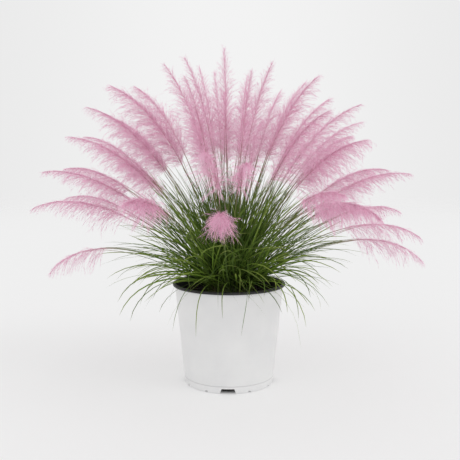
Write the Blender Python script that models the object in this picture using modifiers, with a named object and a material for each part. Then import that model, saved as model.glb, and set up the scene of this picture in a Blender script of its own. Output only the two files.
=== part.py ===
"""Pink muhly grass in bloom, potted in a number three nursery container.

Metres, +Z up. The origin is the middle of the pot's foot on the ground, and the side of
the plant that is seen first faces -Y.
"""

import math

import bmesh
import bpy
import numpy as np

# Pot: a tapered wall with a rolled lip, a crease above the foot and drain slots
POT_HEIGHT = 0.248
RIM_RADIUS = 0.138
LIP_HEIGHT = 0.006
LIP_EDGE = 0.0015
WALL_TOP_RADIUS = 0.1326
FOOT_RADIUS = 0.1088
WALL = 0.002
FLOOR_UNDERSIDE = 0.006
FLOOR_THICKNESS = 0.0025
CREASE_HEIGHT = 0.0175
CREASE_HALF_WIDTH = 0.0013
CREASE_DEPTH = 0.0011
FOOT_EDGE = 0.0028
FOOT_WIDTH = 0.0035
POT_STEPS = 40

# Drain slots: four wide ones a quarter turn apart, each between two small ones
SLOT_HEIGHT = 0.0125
SLOT_BOTTOM_WIDTH = 0.039
SLOT_TOP_WIDTH = 0.030
SMALL_SLOT_HEIGHT = 0.0048
SMALL_SLOT_WIDTH = 0.0085
SMALL_SLOT_SPREAD = 28.0
SLOT_INNER_RADIUS = 0.097
SLOT_OUTER_RADIUS = 0.120
FRONT_BEARING = -91.3

# Soil, and the crown of packed shoots that stands on it
GAP = 0.0003
SOIL_TOP = 0.225
CROWN_RADIUS = 0.060
CROWN_CENTRE = np.array([0.0, 0.0, 0.210])
CROWN_STEPS = 20
CROWN_RINGS = 4

# Flower stems: a stalk that ends in a feathery plume
STALK_BASE_RADIUS = 0.0016
STALK_TOP_RADIUS = 0.0013
TIP_RADIUS = 0.0004
ARCH_POWER = 1.5
NOD_POWER = 6.0
NOD = 30.0
PLUME_SAG = 0.45
PATH_STEPS = 120
PLUME_SWELL = ((0.10, 0.55), (0.30, 1.0), (0.52, 0.95), (0.74, 0.62), (0.90, 0.30))

# Each stem leaves the crown at an angle from upright as seen from the front (fan, positive
# to the right) and an angle towards the front (tilt), and then bends over by its arch.
# Rows: fan, tilt, length, arch, plume length, plume width; degrees and millimetres.
MIDDLE_AND_LEFT_STEMS = (
    (-1, 0, 540, 0, 250, 30),
    (-1, -23, 535, 8, 240, 40),
    (-3, -14, 540, 8, 230, 30),
    (-5, -10, 548, 12, 240, 32),
    (-4, 3, 530, 17, 240, 34),
    (-7, 20, 530, 16, 230, 40),
    (-7, 6, 530, 22, 250, 34),
    (-14, -8, 550, 27, 240, 34),
    (-15, 4, 535, 30, 250, 42),
    (-23, -12, 530, 28, 230, 34),
    (-22, 4, 525, 30, 240, 34),
    (-32, -30, 525, 26, 220, 38),
    (-31, -14, 545, 29, 230, 34),
    (-29, 6, 505, 32, 240, 38),
    (-40, -16, 540, 32, 220, 32),
    (-40, 4, 500, 32, 230, 34),
    (-48, -22, 535, 33, 210, 32),
    (-45, 6, 488, 44, 230, 36),
    (-57, 2, 425, 64, 160, 22),
)
RIGHT_STEMS = (
    (4, -15, 530, 6, 230, 30),
    (4, 18, 515, 9, 230, 32),
    (5, 3, 515, 13, 230, 32),
    (11, -17, 530, 13, 220, 34),
    (13, -9, 535, 18, 230, 32),
    (12, 5, 520, 21, 230, 32),
    (18, -10, 535, 24, 220, 32),
    (16, 22, 520, 26, 240, 44),
    (21, 4, 515, 27, 240, 34),
    (29, -19, 530, 24, 220, 34),
    (26, -10, 530, 28, 230, 32),
    (25, 22, 505, 28, 220, 40),
    (38, -15, 525, 36, 220, 32),
    (39, 5, 490, 34, 230, 34),
    (51, -20, 518, 35, 200, 30),
    (50, 5, 460, 52, 190, 26),
    (55, 3, 461, 60, 180, 24),
)
FRONT_STEMS = (
    (-3, 52, 447, 17, 150, 34),
    (-4, 28, 496, 45, 200, 34),
    (3, 28, 492, 53, 180, 32),
    (-25, 37, 445, 32, 180, 40),
    (25, 39, 500, 30, 190, 38),
    (28, 34, 535, 54, 210, 40),
)
BACK_STEMS = (
    (-10, -28, 518, 15, 220, 38),
    (9, -29, 519, 15, 220, 38),
    (-38, -42, 510, 34, 220, 36),
    (46, -32, 510, 36, 210, 34),
    (-15, -54, 441, 79, 190, 34),
    (12, -52, 395, 84, 170, 34),
)

# Leaves: eight tufts round the crown, each of wiry blades that leave one sheath
TUFTS = 8
TUFT_LEAN = 46.0
SHEATH_LENGTH = 0.024
SHEATH_RADIUS = 0.0052
SHEATH_TOP_RADIUS = 0.0030
SHEATH_SIDES = 8
LEAF_SPREAD_RADIUS = 0.0022
LEAF_BASE_RADIUS = 0.0017
LEAF_MIDDLE_RADIUS = 0.0016
LEAF_STOPS = (0.0, 0.25, 0.52, 0.78, 1.0)
LEAF_CLEARANCE = 0.0008
LEAF_TURN = 1.5
LEAF_TURNS = 16
SAMPLE_LENGTH = 0.003
# Rows: turn to the side, lean from upright, length, arch; degrees and millimetres.
LEAVES = (
    (-16, 12, 290, 14),
    (5, 24, 295, 22),
    (17, 38, 285, 32),
    (-9, 50, 280, 46),
    (14, 64, 275, 64),
    (-15, 70, 262, 80),
    (4, 74, 190, 110),
)

# Colours, roughness
POT_WHITE = (0.80, 0.80, 0.80, 1.0)
SOIL_BROWN = (0.035, 0.024, 0.017, 1.0)
CROWN_GREEN = (0.060, 0.090, 0.025, 1.0)
LEAF_GREEN = (0.105, 0.200, 0.040, 1.0)
PLUME_PINK = (0.720, 0.350, 0.510, 1.0)


def clear_scene():
    """Removes whatever the scene holds."""
    for item in list(bpy.data.objects):
        bpy.data.objects.remove(item)


def new_collection(name):
    """A collection of that name, linked to the scene."""
    collection = bpy.data.collections.new(name)
    bpy.context.scene.collection.children.link(collection)
    return collection


def material(name, colour, roughness):
    """A plain Principled material."""
    made = bpy.data.materials.new(name)
    made.use_nodes = True
    shader = made.node_tree.nodes["Principled BSDF"]
    shader.inputs["Base Color"].default_value = colour
    shader.inputs["Roughness"].default_value = roughness
    shader.inputs["Metallic"].default_value = 0.0
    made.diffuse_color = colour
    return made


def turned(name, profile, steps, look, collection):
    """A solid of revolution about Z from (radius, height) points, outer side downwards."""
    mesh = bpy.data.meshes.new(name)
    edges = [(i, i + 1) for i in range(len(profile) - 1)]
    mesh.from_pydata([(radius, 0.0, height) for radius, height in profile], edges, [])
    mesh.materials.append(look)
    item = bpy.data.objects.new(name, mesh)
    collection.objects.link(item)
    screw = item.modifiers.new("turn", "SCREW")
    screw.axis = "Z"
    screw.angle = 2.0 * math.pi
    screw.steps = steps
    screw.render_steps = steps
    screw.use_smooth_shade = True
    screw.use_merge_vertices = True
    screw.merge_threshold = 0.0001
    return item


def wall_radius(height):
    """Outside radius of the pot's tapered wall at a height above the ground."""
    taper = (WALL_TOP_RADIUS - FOOT_RADIUS) / (POT_HEIGHT - LIP_HEIGHT)
    return FOOT_RADIUS + taper * height


def pot_profile():
    """Up the inside of the pot, over its lip, down its outside and in under its floor."""
    lip_bottom = POT_HEIGHT - LIP_HEIGHT
    floor_top = FLOOR_UNDERSIDE + FLOOR_THICKNESS
    crease_top = CREASE_HEIGHT + CREASE_HALF_WIDTH
    crease_bottom = CREASE_HEIGHT - CREASE_HALF_WIDTH
    rounding = math.sqrt(0.5)
    return [
        (0.0, floor_top),
        (wall_radius(floor_top) - WALL, floor_top),
        (WALL_TOP_RADIUS - WALL, lip_bottom),
        (WALL_TOP_RADIUS - WALL, POT_HEIGHT),
        (RIM_RADIUS - LIP_EDGE, POT_HEIGHT),
        (RIM_RADIUS, POT_HEIGHT - LIP_EDGE),
        (RIM_RADIUS, lip_bottom + LIP_EDGE),
        (RIM_RADIUS - LIP_EDGE, lip_bottom),
        (WALL_TOP_RADIUS, lip_bottom),
        (wall_radius(crease_top), crease_top),
        (wall_radius(CREASE_HEIGHT) - CREASE_DEPTH, CREASE_HEIGHT),
        (wall_radius(crease_bottom), crease_bottom),
        (wall_radius(FOOT_EDGE), FOOT_EDGE),
        (FOOT_RADIUS - FOOT_EDGE * (1.0 - rounding), FOOT_EDGE * (1.0 - rounding)),
        (FOOT_RADIUS - FOOT_EDGE, 0.0),
        (FOOT_RADIUS - FOOT_EDGE - FOOT_WIDTH, 0.0),
        (FOOT_RADIUS - FOOT_EDGE - FOOT_WIDTH, FLOOR_UNDERSIDE),
        (0.0, FLOOR_UNDERSIDE),
    ]


def slot_cutter(name, bearing, bottom_width, top_width, height, collection):
    """A wedge across the foot whose sides slope in towards its top."""
    mesh = bpy.data.meshes.new(name)
    shape = bmesh.new()
    bmesh.ops.create_cube(shape, size=1.0)
    below = FLOOR_UNDERSIDE
    for corner in shape.verts:
        side = math.copysign(1.0, corner.co.y)
        upper = corner.co.z > 0.0
        slope = (bottom_width - top_width) / height
        width = top_width if upper else bottom_width + slope * below
        corner.co.x = SLOT_OUTER_RADIUS if corner.co.x > 0.0 else SLOT_INNER_RADIUS
        corner.co.y = side * width / 2.0
        corner.co.z = height if upper else -below
    shape.to_mesh(mesh)
    shape.free()
    cutter = bpy.data.objects.new(name, mesh)
    cutter.rotation_euler.z = math.radians(bearing)
    cutter.hide_render = True
    cutter.display_type = "WIRE"
    collection.objects.link(cutter)
    return cutter


def cut(item, cutter):
    """Cuts one object out of another."""
    boolean = item.modifiers.new(cutter.name, "BOOLEAN")
    boolean.operation = "DIFFERENCE"
    boolean.solver = "EXACT"
    boolean.object = cutter


def build_pot(parts, cutters):
    """The pot with its drain slots."""
    look = material("white_pot_plastic", POT_WHITE, 0.45)
    pot = turned("pot", pot_profile(), POT_STEPS, look, parts)
    for quarter in range(4):
        bearing = FRONT_BEARING + 90.0 * quarter
        cut(pot, slot_cutter(f"slot_{quarter + 1}", bearing, SLOT_BOTTOM_WIDTH,
                             SLOT_TOP_WIDTH, SLOT_HEIGHT, cutters))
        for side in (-1.0, 1.0):
            name = f"small_slot_{quarter + 1}_{'left' if side < 0.0 else 'right'}"
            cut(pot, slot_cutter(name, bearing + side * SMALL_SLOT_SPREAD, SMALL_SLOT_WIDTH,
                                 SMALL_SLOT_WIDTH * 0.8, SMALL_SLOT_HEIGHT, cutters))


def build_soil(parts):
    """The potting mix, which fills the pot to a little below its lip."""
    bottom = FLOOR_UNDERSIDE + FLOOR_THICKNESS + GAP
    profile = [
        (0.0, SOIL_TOP),
        (wall_radius(SOIL_TOP) - WALL - GAP, SOIL_TOP),
        (wall_radius(bottom) - WALL - GAP, bottom),
        (0.0, bottom),
    ]
    turned("soil", profile, POT_STEPS, material("potting_mix", SOIL_BROWN, 0.95), parts)


def build_crown(parts):
    """The low dome of packed shoots that every leaf and stem grows from."""
    bottom = SOIL_TOP + GAP
    edge = math.acos((bottom - CROWN_CENTRE[2]) / CROWN_RADIUS)
    profile = []
    for ring in range(CROWN_RINGS + 1):
        angle = edge * ring / CROWN_RINGS
        profile.append((CROWN_RADIUS * math.sin(angle),
                        CROWN_CENTRE[2] + CROWN_RADIUS * math.cos(angle)))
    profile.append((0.0, bottom))
    turned("crown", profile, CROWN_STEPS, material("crown_shoots", CROWN_GREEN, 0.8), parts)


def direction(lean, bearing):
    """The unit vector at a lean from upright, in radians, towards a bearing."""
    return np.array([math.sin(lean) * math.cos(bearing),
                     math.sin(lean) * math.sin(bearing),
                     math.cos(lean)])


def heading(fan, tilt):
    """Lean and bearing, in radians, of a fan and tilt in degrees."""
    fan, tilt = math.radians(fan), math.radians(tilt)
    lean = math.acos(math.cos(fan) * math.cos(tilt))
    return lean, math.atan2(-math.sin(tilt), math.sin(fan) * math.cos(tilt))


def bent_line(start, lean, bearing, length, arch, nod):
    """Points at even steps along a stalk that bends over in its own upright plane."""
    along = (np.arange(PATH_STEPS) + 0.5) / PATH_STEPS
    angle = lean + arch * along ** ARCH_POWER + nod * along ** NOD_POWER
    outward = np.array([math.cos(bearing), math.sin(bearing), 0.0])
    steps = np.outer(np.sin(angle), outward) + np.outer(np.cos(angle), (0.0, 0.0, 1.0))
    path = np.vstack([np.zeros(3), np.cumsum(steps, axis=0) * length / PATH_STEPS])
    return start + path


def point_on(path, fraction):
    """The point at a fraction of a path's length, and the path's direction there."""
    place = fraction * (len(path) - 1)
    low = min(int(place), len(path) - 2)
    step = path[low + 1] - path[low]
    return path[low] + step * (place - low), step / np.linalg.norm(step)


def stem_line(fan, tilt, length, arch, plume, width):
    """Points and radii of one flower stem's stalk and plume."""
    lean, bearing = heading(fan, tilt)
    length, plume, radius = length / 1000.0, plume / 1000.0, width / 2000.0
    arch = math.radians(arch)
    nod = math.radians(NOD) * math.sin(lean + arch)
    start = CROWN_CENTRE + (CROWN_RADIUS + GAP) * direction(lean, bearing)
    path = bent_line(start, lean, bearing, length, arch, nod)
    plume_start = 1.0 - plume / length
    points, radii = [], []
    for fraction in (0.0, 0.5 * plume_start, plume_start):
        points.append(point_on(path, fraction)[0])
        radii.append(STALK_BASE_RADIUS
                     + (STALK_TOP_RADIUS - STALK_BASE_RADIUS) * fraction / plume_start)
    for fraction, swell in PLUME_SWELL:
        point, along = point_on(path, plume_start + (1.0 - plume_start) * fraction)
        below = np.array([0.0, 0.0, -1.0]) + along * along[2]
        points.append(point + below * PLUME_SAG * radius * swell)
        radii.append(radius * swell)
    points.append(path[-1])
    radii.append(TIP_RADIUS)
    return np.array(points), np.array(radii)


def tube(name, points, radii, sides, look, collection):
    """A round bar along points, with a radius at each and closed ends."""
    curve = bpy.data.curves.new(name, "CURVE")
    curve.dimensions = "3D"
    curve.bevel_depth = 0.001
    curve.bevel_resolution = (sides - 4) // 2
    curve.use_fill_caps = True
    curve.materials.append(look)
    spline = curve.splines.new("POLY")
    spline.points.add(len(points) - 1)
    for place, point, radius in zip(spline.points, points, radii):
        place.co = (*point, 1.0)
        place.radius = radius / curve.bevel_depth
    item = bpy.data.objects.new(name, curve)
    collection.objects.link(item)
    return item


def build_flower_stems(parts):
    """Every flower stem, and the list of their lines."""
    look = material("pink_plume", PLUME_PINK, 0.85)
    rows = MIDDLE_AND_LEFT_STEMS + RIGHT_STEMS + FRONT_STEMS + BACK_STEMS
    lines = [stem_line(*row) for row in rows]
    for number, (points, radii) in enumerate(lines, 1):
        tube(f"flower_stem_{number:02d}", points, radii, 6, look, parts)
    return lines


def nearest_room(points, radii, lines):
    """The smallest room between one line's bar and the bars of other lines."""
    samples, sample_radii = [], []
    for low, high, low_radius, high_radius in zip(points, points[1:], radii, radii[1:]):
        count = max(1, round(np.linalg.norm(high - low) / SAMPLE_LENGTH))
        share = np.arange(count + 1)[:, None] / count
        samples.append(low + (high - low) * share)
        sample_radii.append(low_radius + (high_radius - low_radius) * share[:, 0])
    samples = np.vstack(samples)
    sample_radii = np.concatenate(sample_radii)
    starts = np.vstack([line[:-1] for line, _ in lines])
    ends = np.vstack([line[1:] for line, _ in lines])
    start_radii = np.concatenate([size[:-1] for _, size in lines])
    end_radii = np.concatenate([size[1:] for _, size in lines])
    runs = ends - starts
    offsets = samples[:, None, :] - starts[None, :, :]
    share = np.einsum("ijk,jk->ij", offsets, runs) / np.einsum("jk,jk->j", runs, runs)
    share = np.clip(share, 0.0, 1.0)
    distance = np.linalg.norm(offsets - share[:, :, None] * runs[None, :, :], axis=2)
    other_radii = start_radii + (end_radii - start_radii) * share
    return float((distance - other_radii - sample_radii[:, None]).min())


def turns():
    """Small turns either way, nearest first: 0, 1, -1, 2, -2 and so on, in radians."""
    yield 0.0
    for count in range(1, LEAF_TURNS + 1):
        yield math.radians(LEAF_TURN * count)
        yield -math.radians(LEAF_TURN * count)


def leaf_line(start, lean, bearing, length, arch):
    """Points and radii of one wiry blade."""
    path = bent_line(start, lean, bearing, length, arch, 0.0)
    points = np.array([point_on(path, fraction)[0] for fraction in LEAF_STOPS])
    radii = np.full(len(points), LEAF_MIDDLE_RADIUS)
    radii[0] = LEAF_BASE_RADIUS
    radii[-1] = TIP_RADIUS
    return points, radii


def clear_leaf(start, lean, bearing, length, arch, lines):
    """A blade that is turned by the least angle that takes it past every other line."""
    for turn in turns():
        points, radii = leaf_line(start, lean, bearing + turn, length, arch)
        if nearest_room(points, radii, lines) > LEAF_CLEARANCE:
            return points, radii
    raise ValueError("no clear way for a leaf")


def as_mesh(item):
    """Turns a curve object into a closed mesh object in the same place."""
    evaluated = item.evaluated_get(bpy.context.evaluated_depsgraph_get())
    mesh = bpy.data.meshes.new_from_object(evaluated)
    shape = bmesh.new()
    shape.from_mesh(mesh)
    bmesh.ops.remove_doubles(shape, verts=shape.verts, dist=0.00001)
    shape.to_mesh(mesh)
    shape.free()
    made = bpy.data.objects.new(item.name, mesh)
    made.matrix_world = item.matrix_world
    item.users_collection[0].objects.link(made)
    name = item.name
    bpy.data.objects.remove(item)
    made.name = name
    return made


def grow_together(item, others):
    """Joins closed meshes that reach into each other into one closed mesh."""
    for other in others:
        union = item.modifiers.new(other.name, "BOOLEAN")
        union.operation = "UNION"
        union.solver = "EXACT"
        union.object = other
    evaluated = item.evaluated_get(bpy.context.evaluated_depsgraph_get())
    mesh = bpy.data.meshes.new_from_object(evaluated)
    item.modifiers.clear()
    item.data = mesh
    for other in others:
        bpy.data.objects.remove(other)


def clear_sheath(bearing, lines):
    """A tuft's sheath, turned by the least angle that takes it past every stem."""
    lean = math.radians(TUFT_LEAN)
    for turn in turns():
        outward = direction(lean, bearing + turn)
        foot = CROWN_CENTRE + (CROWN_RADIUS + GAP) * outward
        points = np.array([foot, foot + SHEATH_LENGTH * outward])
        radii = np.array([SHEATH_RADIUS, SHEATH_TOP_RADIUS])
        if nearest_room(points, radii, lines) > LEAF_CLEARANCE:
            return points, radii, outward
    raise ValueError("no clear place for a sheath")


def build_leaf_tufts(parts, stems):
    """The tufts of leaves, each clear of the stems and of the tufts before it."""
    look = material("grass_leaf", LEAF_GREEN, 0.55)
    lines = list(stems)
    for tuft in range(TUFTS):
        bearing = math.radians(360.0 * (tuft + 0.5) / TUFTS)
        sheath_points, sheath_radii, outward = clear_sheath(bearing, lines)
        name = f"leaf_tuft_{tuft + 1:02d}"
        sheath = as_mesh(tube(name, sheath_points, sheath_radii, SHEATH_SIDES, look, parts))
        across = np.cross(outward, (0.0, 0.0, 1.0))
        across /= np.linalg.norm(across)
        upward = np.cross(across, outward)
        blades, blade_lines = [], []
        for number, (side, lean, length, arch) in enumerate(LEAVES):
            spoke = 2.0 * math.pi * number / len(LEAVES)
            start = (sheath_points[0] + 0.25 * SHEATH_LENGTH * outward
                     + LEAF_SPREAD_RADIUS * (math.cos(spoke) * across
                                             + math.sin(spoke) * upward))
            line = clear_leaf(start, math.radians(lean), bearing + math.radians(side),
                              length / 1000.0, math.radians(arch), lines)
            blade_lines.append(line)
            blades.append(as_mesh(tube(f"blade_{number + 1}", *line, 4, look, parts)))
        grow_together(sheath, blades)
        lines.append((sheath_points, sheath_radii))
        lines.extend(blade_lines)


def main():
    """Builds the whole plant in its pot."""
    clear_scene()
    parts = new_collection("potted_muhly_grass")
    cutters = new_collection("cutters")
    build_pot(parts, cutters)
    build_soil(parts)
    build_crown(parts)
    stems = build_flower_stems(parts)
    build_leaf_tufts(parts, stems)
    return stems


STEMS = main()
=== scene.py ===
"""The looks of a pink muhly grass in bloom, potted in a nursery container.

Metres, +Z up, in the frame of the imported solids. Each flower stem, each tuft of leaves, the
crown, the soil and the pot is one piece that stands where its solid stands.
"""

import math

import bpy
import numpy as np
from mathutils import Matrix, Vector


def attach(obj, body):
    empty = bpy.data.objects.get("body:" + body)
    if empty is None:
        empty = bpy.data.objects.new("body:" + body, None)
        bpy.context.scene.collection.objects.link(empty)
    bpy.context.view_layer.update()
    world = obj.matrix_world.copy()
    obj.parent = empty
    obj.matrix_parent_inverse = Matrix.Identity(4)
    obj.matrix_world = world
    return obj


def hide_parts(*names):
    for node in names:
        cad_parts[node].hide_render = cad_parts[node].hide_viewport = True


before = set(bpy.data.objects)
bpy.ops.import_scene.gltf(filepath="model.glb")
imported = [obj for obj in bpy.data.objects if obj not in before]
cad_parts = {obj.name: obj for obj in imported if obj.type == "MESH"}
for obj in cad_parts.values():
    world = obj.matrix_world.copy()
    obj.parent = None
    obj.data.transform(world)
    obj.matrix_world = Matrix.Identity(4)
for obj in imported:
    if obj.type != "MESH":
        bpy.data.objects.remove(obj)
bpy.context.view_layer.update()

BODY = "root"
MAP_NAME = "OFBake"
UP = np.array([0.0, 0.0, 1.0])
WHITE = (1.0, 1.0, 1.0)
BLACK = (0.0, 0.0, 0.0)
MAP_ENDS = (0.002, 0.998)
TURNED_LANE = (0.5, 0.49)
HALF_LANE = 0.02
SIDE_HINT = (0.3, 1.0, 0.1)
BOX_FACES = [[0, 3, 2, 1], [4, 5, 6, 7], [0, 1, 5, 4], [1, 2, 6, 5], [2, 3, 7, 6], [3, 0, 4, 7]]

# Camera: the photograph's viewing angle
FRAME_PIXELS = 460
FOCAL_PIXELS = 720.0
SENSOR_WIDTH = 36.0
CAMERA_PLACE = (0.0024, -1.75, 0.567)
CAMERA_PITCH = -6.2

# Pot: the same driving dimensions as its solid
POT_HEIGHT = 0.248
RIM_RADIUS = 0.138
LIP_HEIGHT = 0.006
LIP_ROUNDING = 0.0022
WALL_TOP_RADIUS = 0.1326
FOOT_RADIUS = 0.1088
WALL = 0.002
FLOOR_UNDERSIDE = 0.006
FLOOR_THICKNESS = 0.0025
CREASE_HEIGHT = 0.0175
CREASE_HALF_WIDTH = 0.0013
CREASE_DEPTH = 0.0011
FOOT_EDGE = 0.0028
FOOT_WIDTH = 0.0035
POT_STEPS = 160
WIDE_SLOTS = 4
SLOT_HEIGHT = 0.0125
SLOT_BOTTOM_WIDTH = 0.039
SLOT_TOP_WIDTH = 0.030
SMALL_SLOT_HEIGHT = 0.0048
SMALL_SLOT_WIDTH = 0.0085
SMALL_SLOT_SPREAD = 28.0
SLOT_INNER_RADIUS = 0.097
SLOT_OUTER_RADIUS = 0.120
SMALL_SLOT_TAPER = 0.8
FRONT_BEARING = -91.3
FLOOR_CORNER = 0.002
WALL_CORNER = 0.001
LIP_CORNER = 0.0012
CREASE_ROUNDING = 0.0006
FOOT_CORNER = 0.0005
CORNER_STEPS = 5
LONGEST_FACE = 0.012
WELD_DISTANCE = 0.00001
SHARP_ANGLE = 35.0
CREASE_SHADE_TOP = 0.025

# Soil and crown
GAP = 0.0003
SOIL_TOP = 0.225
SOIL_RINGS = 40
SOIL_STEPS = 140
SOIL_SEED = 4000
SOIL_DIP = 0.0012
SOIL_BUMP = 0.0011
BUMP_LIMIT = 1.5
SOIL_WAVES_X = (210.0, 3.0, 160.0)
SOIL_WAVES_Y = (190.0, 2.0, 230.0)
BUMP_SCATTER = 0.8
SOIL_MIDDLE = 0.0005
SOIL_LANE = (0.05, 0.045)
CHIPS = 420
CHIP_SIZES = (0.003, 0.010)
CHIP_INSET = 0.006
CHIP_SINK = 0.0003
CHIP_WIDTHS = (0.35, 0.8)
CHIP_HEIGHTS = (0.12, 0.3)
CHIP_SCATTER = 0.10
CHIP_LEAN = 0.35
CHIP_LANES = (0.1, 0.9)
CROWN_RADIUS = 0.060
CROWN_CENTRE = np.array([0.0, 0.0, 0.210])
CROWN_SEED = 3000
CROWN_RINGS = 14
CROWN_POLE_LEAN = 0.001
CROWN_STEPS = 64
CROWN_SHRINK = 0.95
CROWN_BUMP = 0.03
CROWN_LANE = (0.05, 0.04)
SHEATHS = 260
SHEATH_SIDES = 6
SHEATH_SPREAD = 0.97
SHORT_SHEATH_LEAN = 1.0
SHORT_SHEATH = 0.5
SHEATH_FOOT = 0.90
SHEATH_SCATTER = 0.12
SHEATH_RISE = 0.25
SHEATH_LENGTHS = (0.012, 0.030)
SHEATH_RADII = (0.0014, 0.0024)
SHEATH_TAPER = np.array([1.0, 0.95, 0.8, 0.45])
SHEATH_LANES = (0.15, 0.95)

# Flower stems: the lines of their solids
STALK_BASE_RADIUS = 0.0015
STALK_TOP_RADIUS = 0.0009
RACHIS_TIP_RADIUS = 0.00018
ARCH_POWER = 1.5
NOD_POWER = 6.0
NOD = 30.0
PATH_STEPS = 120
STALK_STATIONS = 26
STALK_SIDES = 6
STALK_END = 0.995
STALK_LANE = (0.05, 0.04)
STEM_SEED = 1000
MILLIMETRES = 1000.0
PLUME_START_ON_MAP = 0.58
SIDE_STALKS = 2
SIDE_STALK_SIDES = 4
SIDE_STALK_RADIUS = 0.0008
SIDE_STALK_TIP_SHARE = 0.4
SIDE_STALK_CLOSING = 3
SIDE_STALK_ROOM = (0.006, 0.020)
SIDE_STALK_ENDS = (0.15, 0.55)

# Rows: fan, tilt, length, arch, plume length, plume width; degrees and millimetres. A stem
# leaves the crown at an angle from upright as seen from the front (fan, positive to the
# right) and an angle towards the front (tilt), and then bends over by its arch.
MIDDLE_AND_LEFT_STEMS = (
    (-1, 0, 540, 0, 250, 30),
    (-1, -23, 535, 8, 240, 40),
    (-3, -14, 540, 8, 230, 30),
    (-5, -10, 548, 12, 240, 32),
    (-4, 3, 530, 17, 240, 34),
    (-7, 20, 530, 16, 230, 40),
    (-7, 6, 530, 22, 250, 34),
    (-14, -8, 550, 27, 240, 34),
    (-15, 4, 535, 30, 250, 42),
    (-23, -12, 530, 28, 230, 34),
    (-22, 4, 525, 30, 240, 34),
    (-32, -30, 525, 26, 220, 38),
    (-31, -14, 545, 29, 230, 34),
    (-29, 6, 505, 32, 240, 38),
    (-40, -16, 540, 32, 220, 32),
    (-40, 4, 500, 32, 230, 34),
    (-48, -22, 535, 33, 210, 32),
    (-45, 6, 488, 44, 230, 36),
    (-57, 2, 425, 64, 160, 32),
)
RIGHT_STEMS = (
    (4, -15, 530, 6, 230, 30),
    (4, 18, 515, 9, 230, 32),
    (5, 3, 515, 13, 230, 32),
    (11, -17, 530, 13, 220, 34),
    (13, -9, 535, 18, 230, 32),
    (12, 5, 520, 21, 230, 32),
    (18, -10, 535, 24, 220, 32),
    (16, 22, 520, 26, 240, 44),
    (21, 4, 515, 27, 240, 34),
    (29, -19, 530, 24, 220, 34),
    (26, -10, 530, 28, 230, 32),
    (25, 22, 505, 28, 220, 40),
    (38, -15, 525, 36, 220, 32),
    (39, 5, 490, 34, 230, 34),
    (51, -20, 518, 35, 200, 30),
    (50, 5, 460, 52, 190, 34),
    (55, 3, 461, 60, 180, 34),
)
FRONT_STEMS = (
    (-3, 52, 447, 17, 135, 28),
    (-4, 28, 496, 45, 220, 36),
    (3, 28, 492, 53, 205, 32),
    (-25, 37, 445, 32, 118, 38),
    (25, 39, 500, 30, 150, 36),
    (28, 34, 535, 54, 200, 40),
)
BACK_STEMS = (
    (-10, -28, 518, 15, 220, 38),
    (9, -29, 519, 15, 220, 38),
    (-38, -42, 510, 34, 220, 36),
    (46, -32, 510, 36, 210, 34),
    (-15, -54, 441, 79, 190, 34),
    (12, -52, 395, 84, 170, 34),
)

# Plumes: branches round the rachis, each with fine hairs along it
BRANCHES_PER_WIDTH = 11500.0
# A stem's own form, where it differs: how many branches, how long they are, how wide they
# open, how much they sag, and how much the upper ones lie closer to the rachis.
PLAIN_FORM = (1.0, 1.0, 1.0, 1.0, 1.0)
FORMS = {
    3: (0.90, 0.90, 1.0, 1.0, 1.0),
    4: (0.85, 0.85, 1.0, 0.9, 1.0),
    5: (0.80, 0.90, 1.0, 0.9, 1.0),
    6: (0.80, 0.90, 1.0, 0.9, 1.0),
    8: (1.15, 1.20, 1.1, 1.1, 1.0),
    9: (1.25, 1.25, 1.1, 1.1, 1.0),
    10: (1.00, 1.20, 1.0, 1.1, 1.0),
    11: (1.20, 1.15, 1.1, 1.1, 1.0),
    15: (1.15, 1.15, 1.0, 1.2, 1.0),
    16: (0.90, 1.00, 1.0, 0.9, 1.0),
    17: (0.85, 1.00, 1.0, 0.9, 1.0),
    18: (0.80, 1.00, 1.0, 0.9, 1.0),
    19: (0.40, 1.10, 1.0, 1.1, 1.0),
    25: (1.10, 1.15, 1.1, 1.1, 1.0),
    27: (1.00, 1.10, 1.0, 1.1, 1.0),
    29: (1.20, 1.25, 1.1, 1.3, 1.0),
    31: (1.00, 1.20, 1.1, 1.3, 1.0),
    32: (1.20, 1.15, 1.1, 1.1, 1.0),
    33: (0.85, 1.00, 0.9, 0.9, 1.0),
    34: (0.85, 1.00, 0.9, 0.9, 1.0),
    35: (0.55, 1.10, 0.9, 1.0, 1.0),
    36: (0.45, 1.10, 0.9, 1.0, 1.0),
    37: (1.75, 0.97, 0.9, 1.1, 0.4),
    38: (0.85, 1.00, 1.0, 0.8, 1.0),
    39: (0.90, 0.95, 0.9, 0.9, 1.0),
    40: (0.85, 1.05, 1.1, 1.1, 0.5),
    41: (0.75, 1.00, 1.0, 0.9, 1.0),
}
BRANCH_STEPS = 5
BRANCH_PLACES = (0.2, 0.8)
BRANCH_PLACE_POWER = 1.1
LAST_BRANCH = 0.985
BRANCH_WIDTHS = (0.00038, 0.00015)
BRANCH_LENGTH = 0.028
BRANCH_LENGTH_FOR_WIDTH = 0.86
BRANCH_SWELL = ((0.0, 0.80), (0.16, 1.05), (0.50, 0.88), (0.80, 0.54), (1.0, 0.26))
BRANCH_ANGLES = ((0.0, 44.0), (0.3, 36.0), (0.7, 28.0), (1.0, 18.0))
BRANCH_BEND = 0.30
BRANCH_TURN_RANGE = (-0.5, 0.5)
BRANCH_ANGLE_RANGE = (0.65, 1.35)
BRANCH_LENGTH_RANGE = (0.70, 1.18)
BRANCH_DROOP_RANGE = (0.5, 1.4)
BRANCH_DROOP_POWER = 1.2
TIP_DROOP_CUT = 0.35
UPRIGHT_DROOP = 0.62
LEVEL_DROOP = 1.45
UPPER_ANGLE_CUT = 0.66
UPPER_LENGTH_CUT = 0.45
LOWER_ANGLE_GAIN = 0.20
LONG_HAIRS = 4
LONG_HAIR_SHARE = (0.25, 0.50)
LONG_HAIR_ANGLES = (5.0, 24.0)
LONG_HAIR_STEPS = 2
SHORT_HAIRS = 7
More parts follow.
